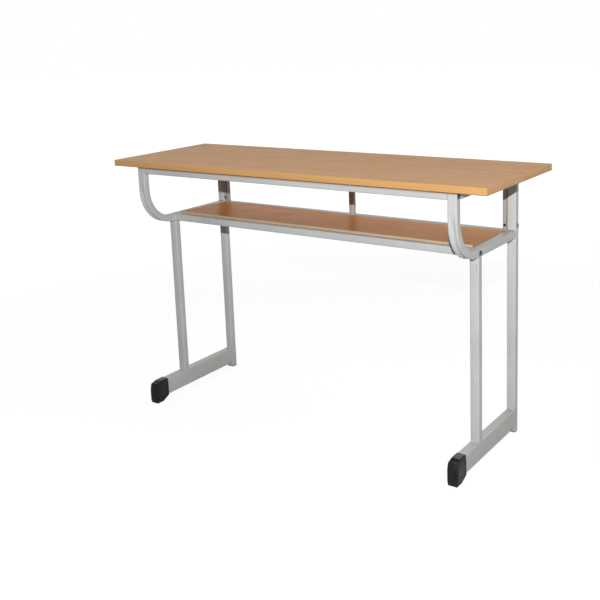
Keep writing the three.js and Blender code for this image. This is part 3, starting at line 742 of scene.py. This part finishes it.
def tube_stations(low, high):
    """Places along the tube, (length along, middle, outward direction), and the bend's ends."""
    half = TUBE_DEPTH / 2
    front, run = low.y + half, low.z + half
    centre = Vector((0, front + BEND_RADIUS, run + BEND_RADIUS))
    drop = high.z - centre.z
    stations = []
    for share in DROP_SHARES:
        place = Vector((0, front, high.z - drop * share))
        stations.append((drop * share, place, Vector((0, -1, 0))))
    for i in range(BEND_STATIONS + 1):
        angle = math.pi / 2 * i / BEND_STATIONS
        out = Vector((0, -math.cos(angle), -math.sin(angle)))
        stations.append((drop + BEND_RADIUS * angle, centre + BEND_RADIUS * out, out))
    rest = high.y - centre.y
    bend_end = drop + BEND_RADIUS * math.pi / 2
    for share in RUN_SHARES:
        place = Vector((0, centre.y + rest * share, run))
        stations.append((bend_end + rest * share, place, Vector((0, 0, -1))))
    return stations, drop, bend_end


def make_bent_tube(label):
    node = f"bent_tube_{label}"
    low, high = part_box(node)
    centre_x = (low.x + high.x) / 2
    half_width, half_depth = (high.x - low.x) / 2, TUBE_DEPTH / 2
    stations, bend_start, bend_end = tube_stations(low, high)
    section = tube_section(half_width, half_depth)
    bm = bmesh.new()
    rings = []
    for along, place, out in stations:
        enters = smooth_step((along - bend_start + DRAW_LEAD) / (2 * DRAW_LEAD))
        leaves = smooth_step((bend_end - DRAW_END - along) / (2 * DRAW_LEAD))
        ring = []
        for u, v in section:
            u, v = draw_in(u, v, half_width, half_depth, enters * leaves, along)
            ring.append(bm.verts.new(place + out * v + Vector((centre_x + u, 0, 0))))
        rings.append(ring)
    skin(bm, rings)
    new_piece(f"{node}_drawn", bm, "frame_paint", TUBE_SHARP, node)


# Moulded shoes: a sleeve with rounded edges, a sloping top and a groove round each face's pad

SHOE_TOE_TOP = 62 * MM
SHOE_SLOPE_END = 30 * MM
SHOE_PAD = 29 * MM
SHOE_SLEEVE = 22 * MM
SHOE_SLEEVE_LOW = 13 * MM
SHOE_CLEARANCE = 0.3 * MM
SHOE_TOP_CORNER = 4.0 * MM
SHOE_LOW_CORNER = 2.5 * MM
SHOE_MOUTH_CORNER = 1.5 * MM
SHOE_LEAST_CORNER = 0.6 * MM
SHOE_NOSE = 4.5 * MM
SHOE_RIM = 0.4 * MM
SHOE_TOE_DISH = 0.2 * MM
GROOVE_DEPTH = 1.4 * MM
GROOVE_WIDTH = 2.8 * MM
GROOVE_MARGIN = 6.5 * MM
GROOVE_STEEPNESS = 1.3
GROOVE_FLOOR = (0.65, 0.35)
ON_SIDE = 0.05 * MM

# The shoe leans back and narrows towards its top and its sole, from these shares of its height
SHOE_LEAN_TOP = 3.5 * MM
SHOE_LEAN_LOW = 1.5 * MM
SHOE_LEAN_REACH = 22 * MM
SHOE_LEAN_START = 0.55
SHOE_WAIST = 1.2 * MM
SHOE_WAIST_START = 0.6
SHOE_LOW_END = 0.2

SHOE_STEP = 0.7 * MM
SHOE_NOSE_STEPS = 7
SHOE_FLAT_POINTS = 12
SHOE_SIDE_POINTS = 84
SHOE_CORNER_POINTS = 6
SHOE_SHARP = 50


def shoe_corners(half_width, low, high, top_corner, low_corner):
    """Points (x, z) round each corner of an upright rectangle."""
    corners = ((1, high - top_corner, top_corner, 90), (1, low + low_corner, low_corner, 0),
               (-1, low + low_corner, low_corner, -90), (-1, high - top_corner, top_corner, 180))
    arcs = []
    for sign, z, radius, start in corners:
        arc = []
        for i in range(SHOE_CORNER_POINTS + 1):
            angle = math.radians(start - 90 * i / SHOE_CORNER_POINTS)
            arc.append((sign * (half_width - radius) + radius * math.cos(angle),
                        z + radius * math.sin(angle)))
        arcs.append(arc)
    return arcs


def shoe_section(half_width, low, high, top_corner, low_corner):
    """Points (x, z) all round an upright rectangle with rounded corners."""
    arcs = shoe_corners(half_width, low, high, top_corner, low_corner)
    flats = (SHOE_SIDE_POINTS, SHOE_FLAT_POINTS, SHOE_SIDE_POINTS, SHOE_FLAT_POINTS)
    loop = []
    for corner, (arc, count) in enumerate(zip(arcs, flats)):
        following = arcs[(corner + 1) % len(arcs)][0]
        loop += arc
        for i in range(1, count):
            share = i / count
            loop.append(tuple(a + (b - a) * share for a, b in zip(arc[-1], following)))
    return loop


def shoe_low(depth, length):
    """Height of the sole at a depth from the toe: flat under the toe, then up to the sleeve."""
    return SHOE_SLEEVE_LOW * max(0.0, (depth - SHOE_PAD) / (length - SHOE_PAD))


def shoe_high(depth, top):
    """Height of the top at a depth from the toe."""
    return SHOE_TOE_TOP + (top - SHOE_TOE_TOP) * smooth_step(depth / SHOE_SLOPE_END)


def groove(x, z, depth, length, low, high):
    """How far the groove round the side pad sets back a point of the side face."""
    from_rim = min(z - low, high - z, depth, length - depth) - GROOVE_MARGIN
    off_centre = abs(from_rim - GROOVE_WIDTH / 2) / (GROOVE_WIDTH / 2)
    return math.copysign(GROOVE_DEPTH * smooth_step(GROOVE_STEEPNESS * (1 - off_centre)), x)


def shoe_point(x, z, depth, inset, length, half_width, top):
    """A point of the shoe's skin, with its waist, lean and the groove round the side pad."""
    if abs(x) > half_width - inset - ON_SIDE:
        x -= groove(x, z, depth, length, shoe_low(depth, length), shoe_high(depth, top))
    share = z / top
    near_sole = smooth_step((SHOE_LOW_END - share) / SHOE_LOW_END)
    near_top = smooth_step((share - SHOE_WAIST_START) / (1 - SHOE_WAIST_START))
    x *= 1 - SHOE_WAIST * (near_top + near_sole) / half_width
    leaning = smooth_step((share - SHOE_LEAN_START) / (1 - SHOE_LEAN_START))
    lean = SHOE_LEAN_TOP * leaning + SHOE_LEAN_LOW * near_sole
    return x, depth + lean * max(0.0, 1 - depth / SHOE_LEAN_REACH), z


def shoe_stations(length):
    """(depth, inset) from the toe's pad over its groove and rounded rim to the mouth."""
    stations = [(SHOE_TOE_DISH, SHOE_NOSE + GROOVE_WIDTH)]
    stations += [(GROOVE_DEPTH, SHOE_NOSE + share * GROOVE_WIDTH) for share in GROOVE_FLOOR]
    stations.append((0.0, SHOE_NOSE))
    for i in range(1, SHOE_NOSE_STEPS + 1):
        angle = math.pi / 2 * i / SHOE_NOSE_STEPS
        stations.append((SHOE_NOSE * (1 - math.cos(angle)), SHOE_NOSE * (1 - math.sin(angle))))
    depth = SHOE_NOSE + SHOE_STEP
    while depth < length - SHOE_STEP:
        stations.append((depth, 0.0))
        depth += SHOE_STEP
    return stations + [(length - SHOE_RIM, 0.0), (length, SHOE_RIM)]


def shoe_mouth(label):
    """The section of the pocket that takes the foot bar."""
    bar_low, bar_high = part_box(f"foot_bar_{label}")
    return shoe_section(
        (bar_high.x - bar_low.x) / 2 + SHOE_CLEARANCE,
        bar_low.z - SHOE_CLEARANCE, bar_high.z + SHOE_CLEARANCE,
        SHOE_MOUTH_CORNER, SHOE_MOUTH_CORNER)


def make_shoe(label):
    node = f"shoe_{label}"
    low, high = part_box(node)
    centre_x, front = (low.x + high.x) / 2, low.y
    half_width, length, top = (high.x - low.x) / 2, high.y - low.y, high.z
    bm = bmesh.new()
    rings = []
    for depth, inset in shoe_stations(length):
        section = shoe_section(
            half_width - inset, shoe_low(depth, length) + inset, shoe_high(depth, top) - inset,
            max(SHOE_LEAST_CORNER, SHOE_TOP_CORNER - inset),
            max(SHOE_LEAST_CORNER, SHOE_LOW_CORNER - inset))
        ring = []
        for x, z in section:
            x, away, z = shoe_point(x, z, depth, inset, length, half_width, top)
            ring.append(bm.verts.new((centre_x + x, front + away, z)))
        rings.append(ring)
    mouth = shoe_mouth(label)
    for depth in (length, length - SHOE_SLEEVE):
        rings.append([bm.verts.new((centre_x + x, front + depth, z)) for x, z in mouth])
    skin(bm, rings)
    new_piece(f"{node}_moulded", bm, "black_plastic", SHOE_SHARP, node)


# Weld beads in the corners where tubes meet

BEAD_LEG = 2.2 * MM
BEAD_RIPPLE = 2.4 * MM
BEAD_RIPPLE_SHARE = 0.14
BEAD_HOLLOW_SHARE = 0.18
BEAD_END_SHARE = 0.25
BEAD_STEP = 0.4 * MM
BEAD_LEAST_STEPS = 4
BEAD_SINK = 0.25 * MM
BEAD_INSET = 3 * MM
BEAD_ARC_POINTS = 5
BEAD_SHARP = 60


def add_bead(bm, start, end, out_one, out_two):
    """A rippled fillet from start to end in the corner between two faces.

    out_one and out_two point from the corner along the two faces.
    """
    start, end = Vector(start), Vector(end)
    one, two = Vector(out_one), Vector(out_two)
    sink = BEAD_SINK * (one + two)
    length = (end - start).length
    steps = max(BEAD_LEAST_STEPS, round(length / BEAD_STEP))
    rings = []
    for i in range(steps + 1):
        share = i / steps
        place = start.lerp(end, share)
        wave = abs(math.sin(math.pi * share * length / BEAD_RIPPLE))
        ripple = 1 - BEAD_RIPPLE_SHARE + BEAD_RIPPLE_SHARE * wave
        from_end = math.sqrt(min(share, 1 - share) * length / BEAD_LEG)
        leg = BEAD_LEG * ripple * min(1.0, from_end + BEAD_END_SHARE)
        ring = [bm.verts.new(place - sink)]
        for j in range(BEAD_ARC_POINTS):
            angle = math.pi / 2 * j / (BEAD_ARC_POINTS - 1)
            arc = one * math.cos(angle) + two * math.sin(angle)
            bulge = leg * (1 - BEAD_HOLLOW_SHARE * math.sin(2 * angle))
            ring.append(bm.verts.new(place + arc * bulge - sink / 2))
        rings.append(ring)
    skin(bm, rings)


def make_end_frame_beads(label):
    upright_low, upright_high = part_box(f"front_upright_{label}")
    post_low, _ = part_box(f"rear_post_{label}")
    foot_low, foot_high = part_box(f"foot_bar_{label}")
    tube_low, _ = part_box(f"bent_tube_{label}")
    rail_low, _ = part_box(f"side_top_rail_{label}")
    run_top = 2 * middle(f"bolt_shelf_rail_{label}").z - tube_low.z
    left, right = upright_low.x + BEAD_INSET, upright_high.x - BEAD_INSET
    front, rear, up, down = (0, -1, 0), (0, 1, 0), (0, 0, 1), (0, 0, -1)
    corners = [
        (upright_low.y, foot_high.z, front, up),
        (upright_high.y, foot_high.z, rear, up),
        (upright_low.y, upright_high.z, front, down),
        (upright_high.y, upright_high.z, rear, down),
        (post_low.y, tube_low.z, front, down),
        (post_low.y, run_top, front, up),
        (post_low.y, foot_low.z, front, down),
        (post_low.y, foot_high.z, front, up),
        (post_low.y, rail_low.z, front, down),
        (rail_low.y, rail_low.z, rear, down),
    ]
    bm = bmesh.new()
    for y, z, one, two in corners:
        add_bead(bm, (left, y, z), (right, y, z), one, two)
    new_piece(f"weld_beads_{label}", bm, "frame_paint", BEAD_SHARP, look="weld_paint")


def make_rear_frame_beads():
    bm = bmesh.new()
    sides = [("middle_strut", -1), ("middle_strut", 1),
             ("inner_vertical_left", 1), ("inner_vertical_right", -1)]
    for node, side in sides:
        low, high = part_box(node)
        x = high.x if side > 0 else low.x
        front, rear = low.y + BEAD_INSET, high.y - BEAD_INSET
        for z, up in ((low.z, 1), (high.z, -1)):
            add_bead(bm, (x, front, z), (x, rear, z), (side, 0, 0), (0, 0, up))
    new_piece("weld_beads_rear", bm, "frame_paint", BEAD_SHARP, look="weld_paint")


# Turned fasteners with a shaped recess in the head. Their outlines are (radius, height) pairs in
# millimetres, from the rim of the recess down, with heights counted from the seat

FASTENER_POINTS = 48
FASTENER_SHARP = 30
BOLT_OUTLINE = (
    (3.1, -3.3), (4.2, -3.12), (5.3, -2.6), (6.1, -1.8), (6.6, -1.15), (6.8, -0.85),
    (6.8, -0.12), (6.7, 0.0), (3.0, 0.0), (3.0, 34.4), (2.4, 35.0),
)
BOLT_PLACES = ("front_rail", "shelf_rail", "post_low", "post_high")
SOCKET_ACROSS = 4 * MM
SOCKET_DEPTH = 2 * MM
SCREW_HEAD_OUTLINE = (
    (2.5, -1.4), (3.2, -1.2), (3.75, -0.8), (4.0, -0.4), (4.0, 0.0), (2.0, 0.0),
)
SCREW_SEAT = 2.6 * MM
SCREW_RADIUS = 2.0 * MM
SCREW_TIP_LENGTH = 3 * MM
SCREW_TIP_RADIUS = 0.3 * MM
CROSS_ARM = 2.0 * MM
CROSS_WIDTH = 0.9 * MM
CROSS_DEPTH = 0.9 * MM
LEAST_SINE = 1e-6


def in_metres(outline):
    return [(radius * MM, height * MM) for radius, height in outline]


def turned_fastener(node, seat, direction, outline, recess, recess_depth, slot, look=None):
    """Replaces a CAD fastener whose shank runs along direction from the seat.

    recess gives the recess's radius at an angle.
    """
    bm = bmesh.new()
    turn = Vector(direction).to_track_quat("Z", "Y").to_matrix()
    angles = [2 * math.pi * i / FASTENER_POINTS for i in range(FASTENER_POINTS)]

    def ring(radius_at, height):
        return [
            bm.verts.new(Vector(seat) + turn @ Vector((
                radius_at(a) * math.cos(a), radius_at(a) * math.sin(a), height)))
            for a in angles
        ]

    top = outline[0][1]
    rings = [ring(recess, top + recess_depth), ring(recess, top)]
    for radius, height in outline:
        rings.append(ring(lambda a, r=radius: r, height))
    skin(bm, rings)
    new_piece(f"{node}_head", bm, slot, FASTENER_SHARP, node, look)


def hexagon_radius(across):
    def radius(angle):
        off = (angle + math.pi / 6) % (math.pi / 3) - math.pi / 6
        return across / 2 / math.cos(off)
    return radius


def cross_radius(arm, width):
    def radius(angle):
        off = (angle + math.pi / 4) % (math.pi / 2) - math.pi / 4
        return min(arm, width / 2 / max(abs(math.sin(off)), LEAST_SINE))
    return radius


def make_bolts():
    """Button-head bolts with a hexagon socket, seated on the end frames' outer faces."""
    outline = in_metres(BOLT_OUTLINE)
    for label, side in SIDES:
        outer_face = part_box(f"rear_post_{label}")[1 if side > 0 else 0].x
        for place in BOLT_PLACES:
            node = f"bolt_{place}_{label}"
            seat = (outer_face, middle(node).y, middle(node).z)
            look = "bolt_steel_rear" if place.startswith("post") else "bolt_steel"
            turned_fastener(node, seat, (-side, 0, 0), outline,
                            hexagon_radius(SOCKET_ACROSS), SOCKET_DEPTH, "bolt_steel", look)


def make_screws():
    """Pan-head screws with a cross recess, driven upwards under the rails and cleats."""
    for node in [part["node"] for part in SUBPARTS if "screw" in part["node"]]:
        low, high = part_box(node)
        length = high.z - low.z - SCREW_SEAT
        outline = in_metres(SCREW_HEAD_OUTLINE) + [
            (SCREW_RADIUS, length - SCREW_TIP_LENGTH), (SCREW_TIP_RADIUS, length)]
        seat = (middle(node).x, middle(node).y, low.z + SCREW_SEAT)
        turned_fastener(node, seat, (0, 0, 1), outline,
                        cross_radius(CROSS_ARM, CROSS_WIDTH), CROSS_DEPTH, "zinc_steel")


bpy.context.scene.view_settings.view_transform = "Standard"
make_camera()
make_lamp()
make_studio()
make_floor()
dress_cad_nodes()
for side_label, _ in SIDES:
    make_bent_tube(side_label)
    make_shoe(side_label)
    make_end_frame_beads(side_label)
make_rear_frame_beads()
make_bolts()
make_screws()
